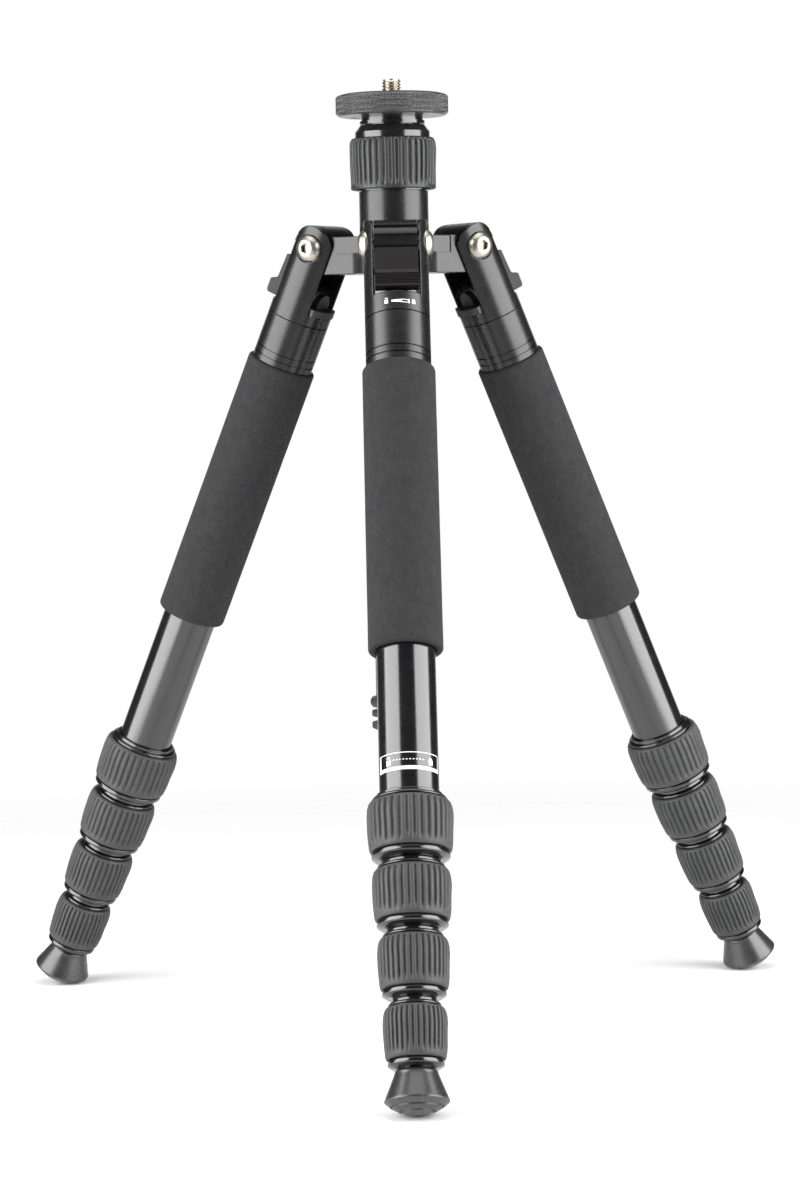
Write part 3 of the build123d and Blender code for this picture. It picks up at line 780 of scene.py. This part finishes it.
def padlock(x, y, size, shut):
    """A padlock of a given height: a body with a shackle over it, lifted and turned aside if open."""
    body, lift = 0.55 * size, 0.0 if shut else 0.14 * size
    width, shackle = 0.56 * size, 0.18 * size
    middle = (x, y - lift)
    legs = [bar(x + side * shackle - 0.05 * size, x + side * shackle + 0.05 * size, y - lift, y + 0.02 * size)
            for side in ((-1, 1) if shut else (1,))]
    return [bar(x - width / 2, x + width / 2, y, y + body), arc(middle, shackle, 0.1 * size, 0, 180)] + legs


class TRIPOD_OT_print(bpy.types.Operator):
    """Prints the plain lock and arrow marks on the front leg's shoulder and tube"""
    bl_idname = "tripod.print_marks"
    bl_label = "Printed Marks"

    def execute(self, context):
        ink = finish_material("white_ink", grey(0.82), grey(0.76), (0.4, 0.5), 3000.0, 0.002 * MM)
        leg = LEGS["front"]
        row = 37.6
        shoulder = [*padlock(-5.6, row, 3.3, False), *padlock(8.2, row, 3.3, True),
                    bar(-3.0, 2.2, row + 0.35, row + 1.15, row - 0.1, row + 1.6),
                    bar(2.2, 5.6, row - 0.1, row + 0.2), bar(2.2, 5.6, row + 1.3, row + 1.6),
                    bar(5.2, 6.0, row - 0.3, row + 1.8)]
        marks = printed("front_shoulder_marks", leg, 16.0 * MM, shoulder)
        fit_out(marks, "front_leg", "satin_black", ink)
        radius, band_top, band_bottom, side = 14.0, 267.0, 275.4, 17.4
        frame_marks = [
            bar(-side, side, band_top, band_top + 0.35, steps=40),
            bar(-side, side, band_bottom - 1.7, band_bottom, steps=40),
            bar(-side, -side + 1.3, band_top + 0.35, band_bottom - 1.7, steps=4),
            bar(side - 0.5, side, band_top + 0.35, band_bottom - 1.7, steps=4)]
        for dot in range(10):
            frame_marks.append(bar(-7.9 + 1.6 * dot, -7.1 + 1.6 * dot, 270.3, 270.7, steps=3))
        frame_marks += padlock(-10.4, 270.3, 4.4, False) + padlock(11.2, 270.3, 4.4, True)
        marks = printed("front_tube_marks", leg, radius * MM, frame_marks)
        fit_out(marks, "front_monopod", "gloss_black", ink)
        return {"FINISHED"}


# ---- Stage ------------------------------------------------------------------------------------

def softbox(name, place, aim, width, height, power):
    """A rectangular area light that faces a point."""
    light = bpy.data.lights.new(name, "AREA")
    light.shape, light.size, light.size_y, light.energy = "RECTANGLE", width, height, power
    lamp = bpy.data.objects.new(name, light)
    bpy.context.scene.collection.objects.link(lamp)
    turn_to(lamp, place, np.array(aim, float) - np.array(place, float), 0)
    return lamp


def turn_to(thing, place, forward, roll):
    """Puts a lamp or camera at a place, looking forward, turned by roll about its own line of sight."""
    forward = forward / np.linalg.norm(forward)
    right = np.cross(forward, (0, 0, 1))
    right /= np.linalg.norm(right)
    up = np.cross(right, forward)
    across = math.cos(roll) * right + math.sin(roll) * up
    upwards = -math.sin(roll) * right + math.cos(roll) * up
    matrix = np.eye(4)
    matrix[:3, :3] = np.stack([across, upwards, -forward], axis=-1)
    matrix[:3, 3] = place
    thing.matrix_world = Matrix(matrix.tolist())


class TRIPOD_OT_stage(bpy.types.Operator):
    """Builds the pale floor, the soft studio light and the camera"""
    bl_idname = "tripod.stage"
    bl_label = "Stage"

    def execute(self, context):
        scene, stage = context.scene, context.scene.tripod_stage
        centre = np.array([*COLUMN.origin[:2], 0.0])
        self.floor(stage)
        self.world(scene)
        away, lamp_height, around = 1.15, 0.45, math.radians(66)
        for name, side in (("left_softbox", -1), ("right_softbox", 1)):
            place = centre + (side * away * math.sin(around), -away * math.cos(around), lamp_height)
            softbox(name, place, centre + (0, 0, 0.25), 1.25, 1.5, stage.side_light)
        softbox("top_softbox", centre + (0, -0.1, 1.6), centre, 1.4, 1.4, stage.top_light)
        self.camera(scene, stage, centre)
        scene.view_settings.view_transform = "Standard"
        return {"FINISHED"}

    def floor(self, stage):
        """A wide square of pale matt floor at Z = 0 that fades into the white room round it."""
        size = 3.0
        mesh = bpy.data.meshes.new("floor")
        corners = [(-size, -size, 0), (size, -size, 0), (size, size, 0), (-size, size, 0)]
        mesh.from_pydata(corners, [], [(0, 1, 2, 3)])
        floor = bpy.data.objects.new("floor", mesh)
        bpy.context.scene.collection.objects.link(floor)
        material = finish_material(
            "pale_floor", colour(stage.floor), grey(0.86), (0.5, 0.6), 200.0, 0.02 * MM, tone_scale=3.0)
        tree = material.node_tree
        where = tree.nodes.new("ShaderNodeTexCoord").outputs["Object"]
        away = add(tree, "ShaderNodeVectorMath", {0: where}, operation="LENGTH")
        tree.links.new(remap(tree, away.outputs["Value"], 0.42, 0.95, 1.0, 0.0),
                       tree.nodes["Principled BSDF"].inputs["Alpha"])
        floor.data.materials.append(material)

    def world(self, scene):
        """White to the camera. Seen by the object, the room is dark except straight behind it."""
        world = bpy.data.worlds.new("studio")
        scene.world = world
        world.use_nodes = True
        tree = world.node_tree
        where = tree.nodes.new("ShaderNodeTexCoord").outputs["Generated"]
        parts = add(tree, "ShaderNodeSeparateXYZ", {0: where})
        behind = remap(tree, parts.outputs["Y"], 0.84, 0.95, 0.03, 0.95)
        below = remap(tree, parts.outputs["Z"], -0.10, 0.0, 0.30, 0.0)
        room = add(tree, "ShaderNodeMath", {0: behind, 1: below}, operation="MAXIMUM")
        backdrop = add(tree, "ShaderNodeBackground", Strength=1.0)
        tree.links.new(room.outputs[0], backdrop.inputs["Color"])
        seen = add(tree, "ShaderNodeBackground", Strength=1.0)
        seen.inputs["Color"].default_value = (1, 1, 1, 1)
        path = tree.nodes.new("ShaderNodeLightPath")
        choose = add(tree, "ShaderNodeMixShader", {0: path.outputs["Is Camera Ray"]})
        tree.links.new(backdrop.outputs[0], choose.inputs[1])
        tree.links.new(seen.outputs[0], choose.inputs[2])
        tree.links.new(choose.outputs[0], tree.nodes["World Output"].inputs["Surface"])

    def camera(self, scene, stage, centre):
        """The camera stands in front, a little to the left, and looks slightly down."""
        around, pitch, roll = math.radians(0.71), math.radians(-4.62), math.radians(-1.11)
        camera = bpy.data.cameras.new("camera")
        camera.lens, camera.shift_x = 95.27, -0.0012
        holder = bpy.data.objects.new("camera", camera)
        scene.collection.objects.link(holder)
        level = np.array([math.sin(around), math.cos(around), 0.0])
        place = centre - stage.distance * level + (0, 0, stage.height)
        forward = level * math.cos(pitch) + (0, 0, math.sin(pitch))
        turn_to(holder, place, forward, roll)
        scene.camera = holder


# ---- Add-on ---------------------------------------------------------------------------------

class TRIPOD_PT_panel(bpy.types.Panel):
    """Lists the steps that finish the tripod, and their settings"""
    bl_idname = "TRIPOD_PT_panel"
    bl_label = "Travel Tripod"
    bl_space_type = "VIEW_3D"
    bl_region_type = "UI"
    bl_category = "Tripod"

    def draw(self, context):
        scene = context.scene
        for operator in OPERATORS:
            self.layout.operator(operator.bl_idname)
        for settings in (scene.tripod_metal, scene.tripod_rubber, scene.tripod_stage):
            box = self.layout.box()
            for name in settings.__annotations__:
                box.prop(settings, name)


OPERATORS = (
    TRIPOD_OT_finishes, TRIPOD_OT_foam_grips, TRIPOD_OT_twist_locks, TRIPOD_OT_column_grip,
    TRIPOD_OT_head_plate, TRIPOD_OT_head_screw, TRIPOD_OT_feet, TRIPOD_OT_print, TRIPOD_OT_stage,
)
SETTINGS = {
    "tripod_metal": TripodMetalSettings,
    "tripod_rubber": TripodRubberSettings,
    "tripod_stage": TripodStageSettings,
}


def register():
    for settings in SETTINGS.values():
        bpy.utils.register_class(settings)
    for name, settings in SETTINGS.items():
        setattr(bpy.types.Scene, name, PointerProperty(type=settings))
    for operator in OPERATORS:
        bpy.utils.register_class(operator)
    bpy.utils.register_class(TRIPOD_PT_panel)


def unregister():
    bpy.utils.unregister_class(TRIPOD_PT_panel)
    for operator in reversed(OPERATORS):
        bpy.utils.unregister_class(operator)
    for name, settings in SETTINGS.items():
        delattr(bpy.types.Scene, name)
        bpy.utils.unregister_class(settings)


def main():
    register()
    for operator in OPERATORS:
        family, name = operator.bl_idname.split(".")
        getattr(getattr(bpy.ops, family), name)()


if __name__ == "__main__":
    main()
